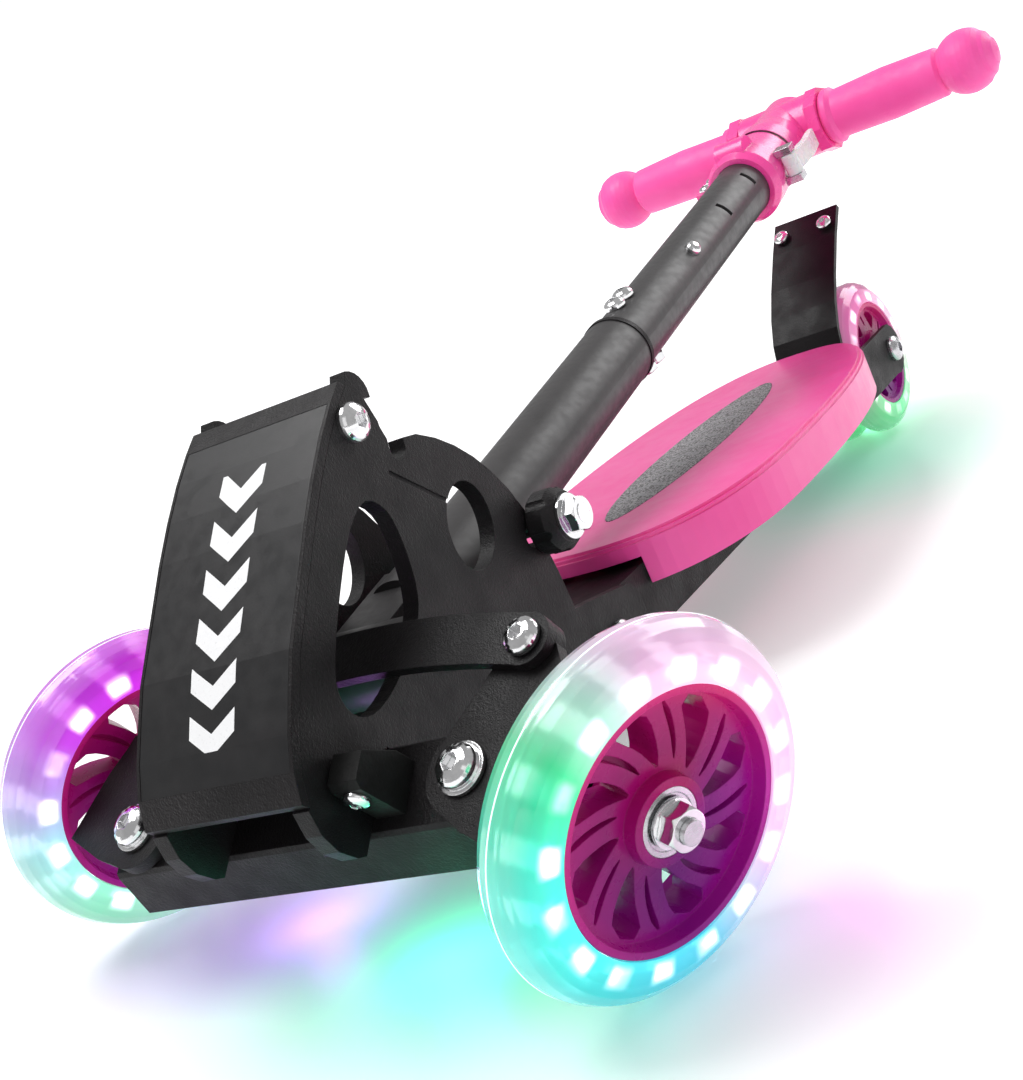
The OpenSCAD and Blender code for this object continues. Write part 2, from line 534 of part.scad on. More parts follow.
module clamp_collar() color("deeppink") at_stem() difference() {
    union() {
        rotate([-90, 0, 0]) rotate_extrude($fn = 64) polygon([[tube_r + 0.1, collar_at],
            [tube_r + 3, collar_at], [tube_r + 5.5, collar_at + 5], [tube_r + 5, collar_at + 20],
            [tube_r + 3.5, collar_end], [inner_r + slide_gap, collar_end],
            [inner_r + slide_gap, collar_at + 30.5], [tube_r + 0.1, collar_at + 30.5]]);
        // clamp ears and raised hood
        translate([-30, collar_at + 6, -5]) cube([13, 24, 10]);
        translate([0, collar_at + 12, 18]) rotate([0, 90, 0]) translate([0, 0, -9])
            cylinder(r = 8, h = 18, $fn = 48);
    }
    translate([-60, collar_at - 1, -0.8]) cube([45, 60, 1.6]);
    rod_y(inner_r + slide_gap, collar_at - 10, collar_end + 10);
    rod_y(tube_r + 0.1, collar_at - 10, collar_at + 30.5);
    for (y = [collar_at + 12, collar_at + 24]) translate([-25.5, y, -40]) cylinder(r = 2.1, h = 80);
}
module collar_screws() color("silver") at_stem() for (y = [collar_at + 12, collar_at + 24])
    translate([-25.5, y, 0]) {
        translate([0, 0, 5.1]) dome_head(3.8, 2.8);
        translate([0, 0, -8]) cylinder(r = 2, h = 13.2);
        translate([0, 0, -8.2]) hex_nut(3.8, 3, 2.1);
    }
module lock_pin() color("silver") at_stem() translate([0, lock_r, 0]) {
    rod_x(pin_r, -outer_x - 20, outer_x + 20);
    for (s = [-1, 1]) rotate([0, s * 90, 0]) {
        difference() {
            translate([0, 0, outer_x + 12.6]) cylinder(r = 9, h = 1.6);
            cylinder(r = pin_r - 0.5, h = 100);
        }
        translate([0, 0, outer_x + 14.2]) hex_nut(7.4, 5.5, pin_r - 0.5);
    }
}
module lock_knobs() color("black") at_stem() translate([0, lock_r, 0]) for (s = [-1, 1])
    rotate([0, s * 90, 0]) difference() {
        translate([0, 0, outer_x + 0.8]) rotate_extrude($fn = 64) polygon([[pin_r + 0.1, 0], [12, 0],
            [12.6, 1], [12.6, 8], [11, 10.4], [10, 11.7], [pin_r + 0.1, 11.7]]);
        for (i = [0:5]) rotate(60 * i + 30) translate([14.6, 0, 0]) cylinder(r = 3, h = 100, $fn = 24);
    }

// ---- Telescoping handlebar ----
module inner_tube() color("silver") at_stem() difference() {
    rod_y(inner_r, sleeve_end + 38, bar_at + 6);
    rod_y(inner_r - 1.5, sleeve_end + 37, bar_at + 7);
    // button holes, one for each height
    for (d = [0, slot_steps[0]]) at_button() translate([0, d, 0]) rod_x(4.4, 0, 60);
}
module white_band() color("white") at_stem() difference() {
    rod_y(18.6, collar_end + 0.5, collar_end + 8);
    rod_y(inner_r + 0.05, 0, 900);
}
module handle_tee() color("hotpink") at_bar() difference() {
    union() {
        rotate([-90, 0, 0]) rotate_extrude($fn = 64) polygon([[inner_r + 0.05, collar_end + 8.1 - bar_at],
            [19, collar_end + 8.1 - bar_at], [20, -46], [20, -34], [18.6, -20], [18.6, 14], [16, 18],
            [0, 18], [0, 6.2], [inner_r + 0.05, 6.2]]);
        rod_x(18, -22, 22);
        rod_x(9.8, -bar_half + 6, bar_half - 6);
        for (s = [-1, 1]) translate([s > 0 ? 22 : -29, 0, 0]) rod_x(19.5, 0, 7, 8);
    }
    rod_y(inner_r + 0.05, -200, 6.2);
}
module grip(s) color("hotpink") at_bar() mirror([s > 0 ? 0 : 1, 0, 0])
    difference() {
        spin_x(concat([[0, 29.3], [15.4, 29.3], [16.4, 31], [16.4, 34], [14.2, 36.5], [14.6, 50],
            [15.2, (bar_half + 20) / 2], [14.4, bar_half - 24], [14, bar_half - 15.5]],
            [for (i = [0:4:56]) let (a = -48 + i * 2.4)
                [ball_r * cos(a) + (i > 28 && (i / 4) % 2 == 1 ? -0.8 : 0),
                bar_half + ball_r * sin(a)]], [[0, bar_half + ball_r]]), 64);
        rod_x(9.9, 0, bar_half - 5.8);
    }
module grip_right() grip(1);
module grip_left() grip(-1);

// Quick-release lever of the collar, and the snap button of the tube
lever_y = collar_at + 18;
lever_x = tube_r + 10;
module clamp_lever() color("whitesmoke") at_stem() translate([lever_x, lever_y, 0]) difference() {
    union() {
        translate([0, 0, -6]) cylinder(r = 4.6, h = 12);
        translate([-3.4, 0, -5]) linear_extrude(10) polygon([[0, 0], [7.6, 0], [9.4, 20], [7, 38],
            [4, 40], [3.4, 36], [4.6, 20], [2, 6]]);
    }
    translate([0, 0, -10]) cylinder(r = 2 + run_gap, h = 20);
}
module lever_pin() color("silver") at_stem() translate([lever_x, lever_y, 0]) {
    translate([0, 0, -10.4]) cylinder(r = 2, h = 20.8);
    for (s = [-1, 1]) difference() {
        translate([-6.2, -4, s > 0 ? 6.4 : -10.4]) cube([10, 8, 4]);
        translate([0, 0, -20]) cylinder(r = 2.02, h = 40);
        translate([-lever_x, 0, 0]) rod_y(tube_r + 5.6, -60, 60);
    }
}
module snap_button() color("silver") at_stem() at_button()
    spin_x([[0, inner_r + 0.1], [3.9, inner_r + 0.1], [3.9, tube_r + 1.6], [3.2, tube_r + 3],
        [1.6, tube_r + 3.8],
        [0, tube_r + 4]], 48);

side_plate_right();
side_plate_left();
front_cover();
cover_panel();
front_beam();
king_bolts();
king_nuts();
plate_bolts();
deck_bolts();
stem_pivot();
bump_blocks();
bump_screws();
deck();
deck_inlay();
deck_frame();
rear_axle();
fender_pin();
knuckle_right();
knuckle_left();
axle_right();
axle_left();
axle_nut_right();
axle_nut_left();
tie_bolt_right();
tie_bolt_left();
tie_strap();
tyre_right();
tyre_left();
lamps_right();
lamps_left();
hub_right();
hub_left();
bearings_right();
bearings_left();
rear_tyre_right();
rear_tyre_left();
rear_hub_right();
rear_hub_left();
rear_bearings_right();
rear_bearings_left();
brake_fender();
fender_bolts();
stem_foot();
joint_ring();
stem_tube();
stem_bolts();
clamp_collar();
collar_screws();
lever_pin();
lock_pin();
lock_knobs();
inner_tube();
white_band();
handle_tee();
grip_right();
grip_left();
clamp_lever();
snap_button();
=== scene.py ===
import json
import math

import bpy
from mathutils import Matrix, Vector


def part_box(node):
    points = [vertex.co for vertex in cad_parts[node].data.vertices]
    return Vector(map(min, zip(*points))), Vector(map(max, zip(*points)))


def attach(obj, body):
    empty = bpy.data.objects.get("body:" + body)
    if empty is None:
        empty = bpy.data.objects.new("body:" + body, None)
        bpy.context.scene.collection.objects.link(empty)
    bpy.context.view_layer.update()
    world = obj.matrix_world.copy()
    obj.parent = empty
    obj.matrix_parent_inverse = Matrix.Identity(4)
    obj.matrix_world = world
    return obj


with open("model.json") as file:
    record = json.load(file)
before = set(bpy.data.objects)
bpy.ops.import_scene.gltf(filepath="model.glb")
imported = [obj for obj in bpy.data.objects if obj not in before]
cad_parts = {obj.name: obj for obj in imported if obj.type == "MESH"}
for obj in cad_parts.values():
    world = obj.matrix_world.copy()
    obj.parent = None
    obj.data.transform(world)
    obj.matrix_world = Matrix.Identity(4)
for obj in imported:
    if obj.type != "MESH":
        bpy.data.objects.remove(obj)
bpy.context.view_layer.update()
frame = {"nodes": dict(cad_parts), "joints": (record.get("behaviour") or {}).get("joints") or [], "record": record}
nodes = frame["nodes"]
joints = {j["name"]: j for j in frame["joints"]}

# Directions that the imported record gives, in the row frame
ACROSS = Vector(joints["spin_rear_right"]["axis"])
UP = Vector(frame["record"]["mounts"][0]["axis"])
BACK = UP.cross(ACROSS)
STEM = Vector(joints["bar_slide"]["axis"])
STEM_UP = ACROSS.cross(STEM)


def middle(node):
    low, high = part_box(node)
    return (low + high) / 2


class Shader:
    """Builds one node material on a Principled shader."""

    def __init__(self, name, **plain):
        self.mat = bpy.data.materials.new(name)
        self.mat.use_nodes = True
        self.tree = self.mat.node_tree
        self.tree.nodes.clear()
        self.bsdf = self.add("ShaderNodeBsdfPrincipled")
        out = self.add("ShaderNodeOutputMaterial")
        self.link(self.bsdf.outputs[0], out.inputs["Surface"])
        self.place = self.add("ShaderNodeTexCoord").outputs["Object"]
        for key, value in plain.items():
            self.bsdf.inputs[key.replace("_", " ")].default_value = value

    def add(self, kind, **settings):
        node = self.tree.nodes.new(kind)
        for key, value in settings.items():
            setattr(node, key, value)
        return node

    def link(self, source, target):
        self.tree.links.new(source, target)

    def feed(self, target, value):
        if isinstance(value, bpy.types.NodeSocket):
            self.link(value, target)
        else:
            target.default_value = value

    def math(self, operation, a, b=0.0, clamp=False):
        node = self.add("ShaderNodeMath", operation=operation, use_clamp=clamp)
        self.feed(node.inputs[0], a)
        self.feed(node.inputs[1], b)
        return node.outputs[0]

    def between(self, value, low, high, to_low=0.0, to_high=1.0, smooth=True):
        node = self.add("ShaderNodeMapRange")
        if smooth:
            node.interpolation_type = "SMOOTHSTEP"
        for index, v in enumerate((value, low, high, to_low, to_high)):
            self.feed(node.inputs[index], v)
        return node.outputs[0]

    def along(self, direction, centre=(0, 0, 0)):
        """How far a point lies along a direction from a centre, in metres."""
        away = self.add("ShaderNodeVectorMath", operation="SUBTRACT")
        self.link(self.place, away.inputs[0])
        away.inputs[1].default_value = centre
        dot = self.add("ShaderNodeVectorMath", operation="DOT_PRODUCT")
        self.link(away.outputs[0], dot.inputs[0])
        dot.inputs[1].default_value = direction
        return dot.outputs["Value"]

    def noise(self, scale, detail=3.0, rough=0.55, stretch=None):
        node = self.add("ShaderNodeTexNoise")
        node.inputs["Scale"].default_value = scale
        node.inputs["Detail"].default_value = detail
        node.inputs["Roughness"].default_value = rough
        place = self.place
        if stretch:
            mapping = self.add("ShaderNodeMapping")
            mapping.inputs["Scale"].default_value = stretch
            self.link(self.place, mapping.inputs["Vector"])
            place = mapping.outputs[0]
        self.link(place, node.inputs["Vector"])
        return node.outputs["Fac"]

    def cells(self, scale, feature="F1"):
        node = self.add("ShaderNodeTexVoronoi", feature=feature)
        node.inputs["Scale"].default_value = scale
        self.link(self.place, node.inputs["Vector"])
        return node.outputs["Distance"]

    def ramp(self, value, stops):
        node = self.add("ShaderNodeValToRGB")
        self.feed(node.inputs["Fac"], value)
        band = node.color_ramp
        while len(band.elements) < len(stops):
            band.elements.new(0.5)
        for element, (where, color) in zip(band.elements, stops):
            element.position = where
            element.color = (*color, 1)
        return node.outputs["Color"]

    def mix(self, share, a, b, blend="MIX"):
        node = self.add("ShaderNodeMix", data_type="RGBA", blend_type=blend)
        self.feed(node.inputs["Factor"], share)
        for target, value in ((node.inputs[6], a), (node.inputs[7], b)):
            self.feed(target, value if isinstance(value, bpy.types.NodeSocket) else (*value, 1))
        return node.outputs[2]

    def colour(self, value, socket="Base Color"):
        self.feed(self.bsdf.inputs[socket], value)

    def rough(self, value):
        self.feed(self.bsdf.inputs["Roughness"], value)

    def relief(self, height, distance, strength=1.0, edge=0.0004):
        """Surface relief of that height in metres, over softly rounded edges."""
        round_edge = self.add("ShaderNodeBevel", samples=4)
        round_edge.inputs["Radius"].default_value = edge
        normal = round_edge.outputs[0]
        bump = self.add("ShaderNodeBump")
        bump.inputs["Distance"].default_value = distance
        bump.inputs["Strength"].default_value = strength
        self.link(height, bump.inputs["Height"])
        self.link(normal, bump.inputs["Normal"])
        self.link(bump.outputs[0], self.bsdf.inputs["Normal"])

    def wheel(self, joint):
        """Distance across, distance out and share of a turn about a wheel's axle."""
        axle, centre = Vector(joints[joint]["axis"]), Vector(joints[joint]["pos_m"])
        top = (Vector((0, 0, 1)) - axle.z * axle).normalized()
        front = axle.cross(top)
        across, high, ahead = (self.along(d, centre) for d in (axle, top, front))
        out = self.math("SQRT", self.math("ADD", self.math("MULTIPLY", high, high),
                                          self.math("MULTIPLY", ahead, ahead)))
        turn = self.math("DIVIDE", self.math("ARCTAN2", ahead, high), 2 * math.pi)
        return across, out, self.math("FRACT", self.math("ADD", turn, 1.0))


# ---- Materials ----
def textured_black(name, dark, light, grain=1900.0, height=0.00022):
    """Black powder coat or moulded plastic with a fine orange-peel grain."""
    s = Shader(name, Specular_IOR_Level=0.2)
    broad = s.noise(28, 4)
    s.colour(s.ramp(broad, [(0.3, dark), (0.7, light)]))
    s.rough(s.between(s.noise(70, 5), 0.3, 0.7, 0.34, 0.52))
    fine = s.noise(grain, 2)
    s.relief(s.math("ADD", fine, s.math("MULTIPLY", s.noise(grain * 0.4, 1), 0.7)), height, 0.9)
    return s.mat


def chevrons(s, across, along, half, reach, pitch, slope=0.55, duty=0.36):
    """A row of plain chevrons inside a band, as 0 to 1."""
    side = s.math("ABSOLUTE", across)
    wave = s.math("FRACT", s.math("DIVIDE", s.math("ADD", along, s.math("MULTIPLY", side, slope)), pitch))
    inside = s.math("MULTIPLY", s.math("LESS_THAN", side, half),
                    s.math("LESS_THAN", s.math("ABSOLUTE", along), reach))
    return s.math("MULTIPLY", s.math("LESS_THAN", wave, duty), inside)


def panel_black():
    """Smooth black panel with a printed row of pale chevrons."""
    s = Shader("panel_black", Coat_Weight=0.08, Coat_Roughness=0.3, Specular_IOR_Level=0.35)
    low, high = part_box("cover_panel")
    marks = chevrons(s, s.along(ACROSS, middle("cover_panel")), s.along(UP, middle("cover_panel")),
                     0.0105, (high - low).z * 0.36, 0.0125, -0.55, 0.5)
    ink = s.math("MULTIPLY", marks, s.between(s.noise(900, 2), 0.25, 0.4, 0.88, 1.0))
    s.colour(s.mix(ink, s.ramp(s.noise(60, 4), [(0.3, (0.008, 0.008, 0.009)), (0.7, (0.014, 0.013, 0.014))]),
                   (0.86, 0.86, 0.87)))
    s.rough(s.between(s.noise(150, 4), 0.3, 0.7, 0.3, 0.44))
    s.relief(s.math("ADD", s.noise(1400, 1), s.math("MULTIPLY", marks, 0.5)), 0.00004, 0.5)
    return s.mat


def satin_stem():
    """Grey-black satin paint on the tube, with a slight flow in the coat."""
    s = Shader("satin_stem", Coat_Weight=0.1, Coat_Roughness=0.35, Specular_IOR_Level=0.45)
    s.colour(s.ramp(s.noise(40, 4), [(0.3, (0.032, 0.030, 0.031)), (0.7, (0.046, 0.043, 0.044))]))
    s.rough(s.between(s.noise(220, 4), 0.3, 0.7, 0.36, 0.5))
    s.relief(s.noise(900, 3), 0.00008, 0.35)
    return s.mat


def metal(name, color, low, high, streak=None, grain=400.0):
    """Chrome or plated steel, with a faint brushed streak and uneven polish."""
    s = Shader(name, Metallic=1.0)
    dull = tuple(c * 0.82 for c in color)
    s.colour(s.ramp(s.noise(grain * 0.3, 4), [(0.35, dull), (0.6, color)]))
    s.rough(s.between(s.noise(grain, 4, stretch=streak), 0.3, 0.7, low, high))
    s.relief(s.noise(grain * 2, 2, stretch=streak), 0.00002, 0.3, 0.0005)
    return s.mat


def pink_plastic(name, color, shade, low, high, grain, height, coat=0.0, soft=0.12):
    """Moulded plastic: slight colour drift, satin gloss that varies and a fine grain."""
    s = Shader(name, Subsurface_Weight=soft, Subsurface_Scale=0.004, Coat_Weight=coat, Coat_Roughness=0.2)
    s.bsdf.inputs["Subsurface Radius"].default_value = (1.0, 0.35, 0.5)
    s.colour(s.mix(s.between(s.noise(18, 4), 0.3, 0.7), color, shade))
    s.rough(s.between(s.noise(110, 5), 0.3, 0.7, low, high))
    s.relief(s.noise(grain, 2), height, 0.4, 0.0006)
    return s.mat


def grip_rubber():
    """Soft pink grip: pebbled, with a band of shallow chevrons on the handle."""
    s = Shader("grip_rubber", Subsurface_Weight=0.15, Subsurface_Scale=0.004, Sheen_Weight=0.15)
    s.bsdf.inputs["Subsurface Radius"].default_value = (1.0, 0.35, 0.5)
    s.colour(s.mix(s.between(s.noise(30, 4), 0.3, 0.7), (0.93, 0.075, 0.38), (0.97, 0.100, 0.42)))
    s.rough(s.between(s.noise(160, 4), 0.3, 0.7, 0.42, 0.6))
    centre = (middle("grip_right") + middle("grip_left")) / 2
    reach = s.math("SUBTRACT", s.math("ABSOLUTE", s.along(ACROSS, centre)), 0.072)
    marks = chevrons(s, s.along(STEM, centre), reach, 0.007, 0.024, 0.008)
    height = s.math("ADD", s.math("MULTIPLY", s.cells(1500), 0.5), s.math("MULTIPLY", marks, -2.2))
    s.relief(height, 0.00022, 0.55, 0.0006)
    return s.mat


def grip_tape():
    """Dark gritty leaf on the deck, with pale worn specks and a plain chevron row."""
    s = Shader("grip_tape", Specular_IOR_Level=0.4)
    centre = middle("deck_inlay")
    low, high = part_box("deck_inlay")
    marks = chevrons(s, s.along(ACROSS, centre), s.along(BACK, centre), 0.0095,
                     (high - low).y * 0.38, 0.0135, 0.6, 0.3)
    grit = s.cells(2100)
    base = s.ramp(s.noise(900, 3), [(0.4, (0.07, 0.07, 0.072)), (0.6, (0.42, 0.41, 0.42))])
    s.colour(s.mix(s.math("MULTIPLY", marks, 0.75), base, (0.30, 0.30, 0.31)))
    s.rough(s.between(s.noise(240, 3), 0.3, 0.7, 0.6, 0.85))
    s.relief(s.math("ADD", grit, s.noise(1300, 2)), 0.0004, 0.7)
    return s.mat


def hub_plastic(name, joint, size):
    """Magenta wheel body: deeper in the middle; painted light makes it redder and brighter at the rim, warmer at the
    top, darker and bluer at the bottom, and gives it a painted glow.
    """
    s = Shader(name, Coat_Weight=0.05, Coat_Roughness=0.2, Specular_IOR_Level=0.22)
    _, out, turn = s.wheel(joint)
    far = s.math("DIVIDE", out, size)
    # colour by distance from the axle: deeper in the middle, with painted light brightening and reddening the rim
    base = s.ramp(far, [(0.15, (0.42, 0.002, 0.20)), (0.5, (0.26, 0.001, 0.17)), (0.8, (0.32, 0.001, 0.20)),
                        (0.95, (0.50, 0.006, 0.24)), (1.0, (0.58, 0.02, 0.26))])
    # painted light and shade round the wheel: the top is kept bright and warmer, the bottom painted darker and bluer;
    # this tints the glow too
    light_drift = s.ramp(turn, [(0.0, (1.0, 1.0, 0.62)), (0.25, (0.85, 0.8, 0.75)), (0.5, (0.42, 0.5, 0.8)),
                          (0.72, (0.7, 0.7, 1.0)), (0.88, (1.0, 1.0, 0.55)), (1.0, (1.0, 1.0, 0.62))])
    s.colour(s.mix(1.0, base, light_drift, "MULTIPLY"))
    s.rough(s.between(s.noise(140, 4), 0.3, 0.7, 0.22, 0.38))
    # painted glow: the hub is given magenta light of its own, rising towards the rim
    s.colour(s.mix(1.0, (0.95, 0.02, 0.42), light_drift, "MULTIPLY"), "Emission Color")
    s.feed(s.bsdf.inputs["Emission Strength"], s.between(far, 0.5, 1.0, 0.03, 0.10))
    s.relief(s.noise(800, 2), 0.00005, 0.4, 0.0006)
    return s.mat


def lit_tyre(name, joint, inner, outer, half, bands, spots, glow):
    """Clear cast tyre: coloured light from within, a ring of bright lamp spots and a clear rim."""
    s = Shader(name, Transmission_Weight=0.25, IOR=1.45, Coat_Weight=0.6, Coat_Roughness=0.04,
               Subsurface_Weight=0.2, Subsurface_Scale=0.006)
    across, out, turn = s.wheel(joint)
    far = s.math("DIVIDE", s.math("SUBTRACT", out, inner), outer - inner, clamp=True)
    light_drift = s.math("MULTIPLY", s.math("SUBTRACT", s.noise(22, 2), 0.5), 0.10)
    light = s.ramp(s.math("FRACT", s.math("ADD", s.math("ADD", turn, light_drift), 1.0)), bands)
    wave = s.math("MULTIPLY", s.math("ADD", s.math("SINE", s.math("MULTIPLY", turn, 2 * math.pi * spots)), 1.0), 0.5)
    ring = s.math("MULTIPLY", s.between(far, 0.02, 0.20), s.between(far, 0.30, 0.56, 1.0, 0.0))
    lamp = s.math("MULTIPLY", s.between(wave, 0.30, 0.85), ring)
    lamp = s.math("MULTIPLY", lamp, s.between(s.noise(34, 2), 0.38, 0.52, 0.25, 1.0))
    pale = s.mix(s.between(far, 0.6, 1.0, 0.0, 0.35), light, (0.90, 0.95, 0.98))
    s.colour(s.mix(lamp, s.mix(1.0, pale, (0.55, 0.55, 0.55), "MULTIPLY"), (1, 1, 1)))
    s.colour(s.mix(lamp, light, (1, 1, 1)), "Emission Color")
    soft = s.between(far, 0.0, 1.0, glow, glow * 0.4)
    s.feed(s.bsdf.inputs["Emission Strength"], s.math("ADD", soft, s.math("MULTIPLY", lamp, 1.1)))
    s.rough(s.between(s.noise(90, 4), 0.3, 0.7, 0.08, 0.2))
    rings = s.math("SINE", s.math("MULTIPLY", across, 2600.0))
    s.relief(s.math("ADD", s.math("MULTIPLY", rings, 0.25), s.noise(300, 3)), 0.00012, 0.5, 0.0010)
    return s.mat


def clear_white(name, color, glow=0.0):
    """Milky white plastic with a little light in it."""
    s = Shader(name, Transmission_Weight=0.1, Subsurface_Weight=0.3, Subsurface_Scale=0.004, Coat_Weight=0.2,
               Emission_Strength=glow)
    s.bsdf.inputs["Emission Color"].default_value = (0.9, 0.97, 1.0, 1.0)
    shade = tuple(c * 0.93 for c in color)
    s.colour(s.mix(s.between(s.noise(40, 3), 0.3, 0.7), color, shade))
    s.rough(s.between(s.noise(150, 4), 0.3, 0.7, 0.22, 0.36))
    s.relief(s.noise(700, 2), 0.00005, 0.4, 0.0006)
    return s.mat


NEAR_BANDS = [(0.0, (0.93, 0.60, 0.86)), (0.06, (0.55, 0.85, 0.75)), (0.12, (0.03, 0.82, 0.36)),
              (0.22, (0.03, 0.92, 0.70)), (0.31, (0.06, 0.95, 0.88)), (0.40, (0.06, 0.80, 0.86)),
              (0.52, (0.08, 0.74, 0.95)), (0.60, (0.70, 0.75, 0.97)), (0.70, (0.97, 0.58, 0.93)),
              (0.82, (0.98, 0.66, 0.90)), (1.0, (0.93, 0.60, 0.86))]
FAR_BANDS = [(0.0, (0.75, 0.05, 0.90)), (0.12, (0.72, 0.10, 0.92)), (0.25, (0.45, 0.85, 0.90)),
             (0.38, (0.35, 0.92, 0.62)), (0.55, (0.72, 0.97, 0.85)), (0.70, (0.80, 0.70, 0.97)),
             (0.85, (0.92, 0.10, 0.80)), (1.0, (0.75, 0.05, 0.90))]
REAR_BANDS = [(0.0, (0.92, 0.14, 0.52)), (0.2, (0.95, 0.32, 0.66)), (0.36, (0.30, 0.92, 0.45)),
              (0.5, (0.05, 0.88, 0.30)), (0.64, (0.35, 0.95, 0.50)), (0.8, (0.94, 0.42, 0.70)),
              (1.0, (0.92, 0.14, 0.52))]


def paint(material, *names):
    for name in names:
        mesh = nodes[name].data
        mesh.materials.clear()
        mesh.materials.append(material)
        for polygon in mesh.polygons:
            polygon.material_index = 0


def paint_all():
    paint(textured_black("coat_black", (0.0055, 0.0048, 0.0055), (0.0105, 0.0092, 0.010)),
          "side_plate_right", "side_plate_left", "front_beam", "deck_frame", "knuckle_right",
          "knuckle_left", "tie_strap")
    paint(textured_black("moulded_black", (0.0075, 0.0065, 0.0072), (0.014, 0.012, 0.013), 1300.0, 0.00026),
          "front_cover", "joint_ring", "lock_knobs")
    paint(textured_black("fender_black", (0.0025, 0.0015, 0.0022), (0.005, 0.0035, 0.0045), 1500.0, 0.0001),
          "brake_fender")
    paint(textured_black("block_rubber", (0.006, 0.006, 0.006), (0.011, 0.011, 0.011), 900.0, 0.0001),
          "bump_blocks")
    paint(panel_black(), "cover_panel")
    paint(satin_stem(), "stem_foot", "stem_tube")
    paint(metal("chrome", (0.86, 0.86, 0.87), 0.05, 0.16), "king_bolts", "plate_bolts", "tie_bolt_right",
          "tie_bolt_left", "axle_nut_right", "axle_nut_left", "stem_pivot", "bump_screws", "fender_bolts",
          "stem_bolts", "lock_pin", "collar_screws", "snap_button")
    paint(metal("plated", (0.66, 0.66, 0.68), 0.18, 0.36, (1, 1, 9)), "king_nuts", "deck_bolts",
          "rear_axle", "fender_pin", "axle_right", "axle_left", "bearings_right", "bearings_left",
          "rear_bearings_right", "rear_bearings_left", "lever_pin")
    paint(metal("tube_chrome", (0.50, 0.50, 0.52), 0.14, 0.26, (40, 1, 40)), "inner_tube")
    paint(pink_plastic("deck_pink", (0.90, 0.060, 0.34), (0.94, 0.080, 0.38), 0.30, 0.38, 1800, 0.00008, 0.3), "deck")
    paint(pink_plastic("tee_pink", (0.90, 0.060, 0.34), (0.95, 0.085, 0.39), 0.2, 0.32, 900, 0.00004, 0.3),
          "handle_tee", "clamp_collar")
    paint(grip_rubber(), "grip_right", "grip_left")
    paint(grip_tape(), "deck_inlay")
    paint(clear_white("white_plastic", (0.82, 0.82, 0.83)), "white_band", "clamp_lever")
    paint(clear_white("lamp_white", (0.95, 0.97, 1.0), 2.0), "lamps_right", "lamps_left")
    for side, bands in (("right", NEAR_BANDS), ("left", FAR_BANDS)):
        low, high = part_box("tyre_" + side)
        paint(hub_plastic("hub_pink_" + side, "spin_" + side, 0.042), "hub_" + side)
        paint(lit_tyre("tyre_clear_" + side, "spin_" + side, 0.042, 0.060, 0.012, bands, 16, 0.55), "tyre_" + side)
        paint(hub_plastic("rear_pink_" + side, "spin_rear_" + side, 0.0306), "rear_hub_" + side)
        paint(lit_tyre("rear_clear_" + side, "spin_rear_" + side, 0.0306, 0.045, 0.010, REAR_BANDS, 13, 0.38),
              "rear_tyre_" + side)


# ---- Fine pieces that the solids leave out ----
def ring(name, joint, radius, shift, thick, body, material, slot):
    """A thin moulded ring round a wheel."""
    axle, centre = Vector(joints[joint]["axis"]), Vector(joints[joint]["pos_m"])
    turn = axle.to_track_quat("Z", "Y").to_matrix().to_4x4()
    bpy.ops.mesh.primitive_torus_add(major_radius=radius, minor_radius=thick, major_segments=128,
                                     minor_segments=10)
    piece = bpy.context.object
    piece.name = piece.data.name = name
    piece.data.transform(Matrix.Translation(centre + axle * shift) @ turn)
    piece.data.materials.append(material)
    for polygon in piece.data.polygons:
        polygon.use_smooth = True
    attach(piece, body)
    return piece


def add_rings():
    clear = clear_white("mould_line_clear", (0.92, 0.96, 1.0), 0.5)
    for side in ("right", "left"):
        ring("mould_line_" + side, "spin_" + side, 0.05985, 0, 0.00035, "wheel_" + side, clear, "clear_tyre")
        ring("rear_mould_line_" + side, "spin_rear_" + side, 0.04470, 0, 0.0003, "rear_wheel_" + side,
             clear, "clear_tyre")


# ---- Studio ----
SKY = 0.44
# Wheel, shift across and back, reach, and the tint that its light gives the floor
GLOWS = [("spin_right", -0.090, 0.015, 0.16, (0.34, 0.80, 0.62)),
         ("spin_left", 0.03, -0.02, 0.10, (0.70, 0.62, 0.86)),
         ("spin_right", 0.04, 0.05, 0.10, (0.92, 0.76, 0.92)),
         ("spin_rear_right", -0.01, -0.06, 0.15, (0.40, 0.86, 0.66))]


def add_floor():
    bpy.ops.mesh.primitive_plane_add(size=40, location=(0, 0, -0.0002))
    floor = bpy.context.object
    floor.name = "floor"
    s = Shader("floor_white", Specular_IOR_Level=0.2)
    white = s.ramp(s.noise(1.3, 2), [(0.3, (0.90, 0.90, 0.905)), (0.7, (0.93, 0.93, 0.935))])
    # the wheels' light tints the floor around them
    for wheel, across, back, reach, tint in GLOWS:
        centre = Vector(joints[wheel]["pos_m"]) + ACROSS * across + BACK * back
        far = s.math("SQRT", s.math("ADD", s.math("POWER", s.along((1, 0, 0), centre), 2.0),
                                    s.math("POWER", s.along((0, 1, 0), centre), 2.0)))
        white = s.mix(s.between(far, 0.0, reach, 1.0, 0.0), white, tint, "MULTIPLY")
    s.colour(white)
    s.colour(white, "Emission Color")
    s.rough(s.between(s.noise(5, 3), 0.3, 0.7, 0.35, 0.5))
    # the far floor fades into the white backdrop
    away = s.math("SQRT", s.math("ADD", s.math("POWER", s.along((1, 0, 0)), 2.0),
                                 s.math("POWER", s.along((0, 1, 0)), 2.0)))
    s.feed(s.bsdf.inputs["Emission Strength"], s.between(away, 0.55, 2.2, 0.3, 1.0))
    floor.data.materials.append(s.mat)


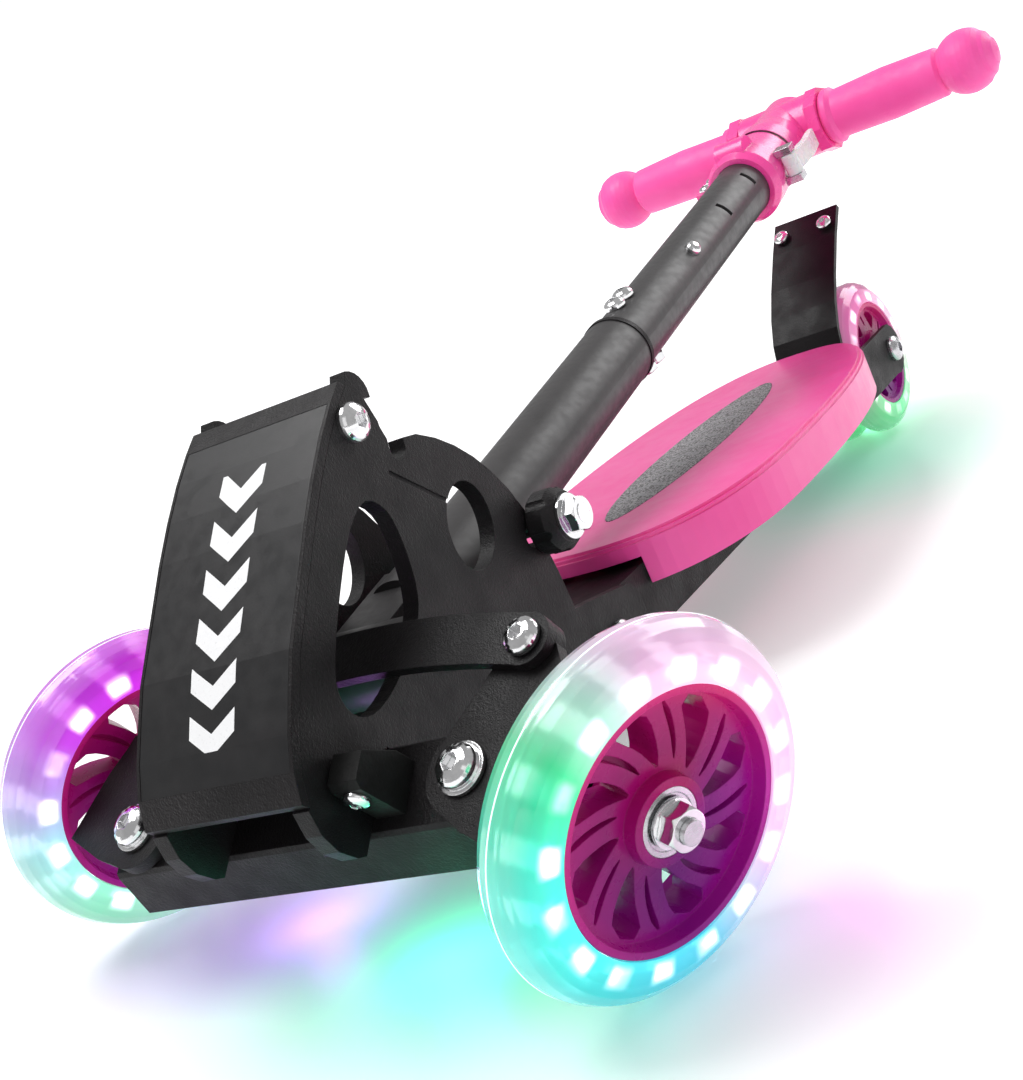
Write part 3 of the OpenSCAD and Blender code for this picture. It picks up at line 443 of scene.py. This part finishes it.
def add_light(name, place, aim, size, power, color=(1, 1, 1)):
    data = bpy.data.lights.new(name, "AREA")
    data.energy, data.size, data.color = power, size, color
    lamp = bpy.data.objects.new(name, data)
    bpy.context.scene.collection.objects.link(lamp)
    lamp.location = place
    lamp.rotation_euler = (Vector(aim) - Vector(place)).to_track_quat("-Z", "Y").to_euler()


def add_glow(name, place, power, color):
    """The wheel lamps' own light, low down beside a wheel."""
    data = bpy.data.lights.new(name, "POINT")
    data.energy, data.shadow_soft_size, data.color = power, 0.012, color
    lamp = bpy.data.objects.new(name, data)
    bpy.context.scene.collection.objects.link(lamp)
    lamp.location = place


def add_studio():
    world = bpy.data.worlds.new("studio")
    bpy.context.scene.world = world
    world.use_nodes = True
    tree = world.node_tree
    background = tree.nodes["Background"]
    background.inputs["Color"].default_value = (1.0, 1.0, 1.0, 1)
    # the backdrop shows white, and lights the object softly
    seen = tree.nodes.new("ShaderNodeLightPath").outputs["Is Camera Ray"]
    level = tree.nodes.new("ShaderNodeMapRange")
    level.inputs["To Min"].default_value, level.inputs["To Max"].default_value = SKY, 1.02
    tree.links.new(seen, level.inputs["Value"])
    tree.links.new(level.outputs[0], background.inputs["Strength"])
    add_light("key", (-0.7, -0.3, 1.7), (0, 0, 0.08), 1.1, 26)
    add_light("fill", (1.2, -1.4, 1.0), (0, 0, 0.1), 1.4, 3)
    add_light("rim", (0.6, 1.6, 1.1), (0, 0.1, 0.1), 1.2, 16)
    right, left = Vector(joints["spin_right"]["pos_m"]), Vector(joints["spin_left"]["pos_m"])
    rear = Vector(joints["spin_rear_right"]["pos_m"])
    add_glow("glow_teal", (right.x - 0.095, right.y + 0.005, 0.02), 0.10, (0.1, 1.0, 0.6))
    add_glow("glow_pink", (right.x + 0.05, right.y + 0.06, 0.015), 0.03, (1.0, 0.12, 0.75))
    add_glow("glow_violet", (left.x + 0.07, left.y - 0.01, 0.02), 0.05, (0.7, 0.2, 1.0))
    add_glow("glow_green", (rear.x - 0.03, rear.y + 0.035, 0.015), 0.07, (0.1, 1.0, 0.5))


def add_camera():
    data = bpy.data.cameras.new("camera")
    data.lens, data.sensor_width, data.sensor_fit = 55.87, 36, "AUTO"
    data.clip_start, data.clip_end = 0.01, 30
    camera = bpy.data.objects.new("camera", data)
    bpy.context.scene.collection.objects.link(camera)
    right, up = Vector((0.82666, 0.47622, -0.29975)), Vector((0.11035, 0.38516, 0.91623))
    back = right.cross(up).normalized()
    turn = Matrix((right, back.cross(right), back)).transposed().to_4x4()
    camera.matrix_world = Matrix.Translation((0.36935, -0.65126, 0.27496)) @ turn
    bpy.context.scene.camera = camera


bpy.context.scene.view_settings.view_transform = "Standard"
paint_all()
add_rings()
add_floor()
add_studio()
add_camera()
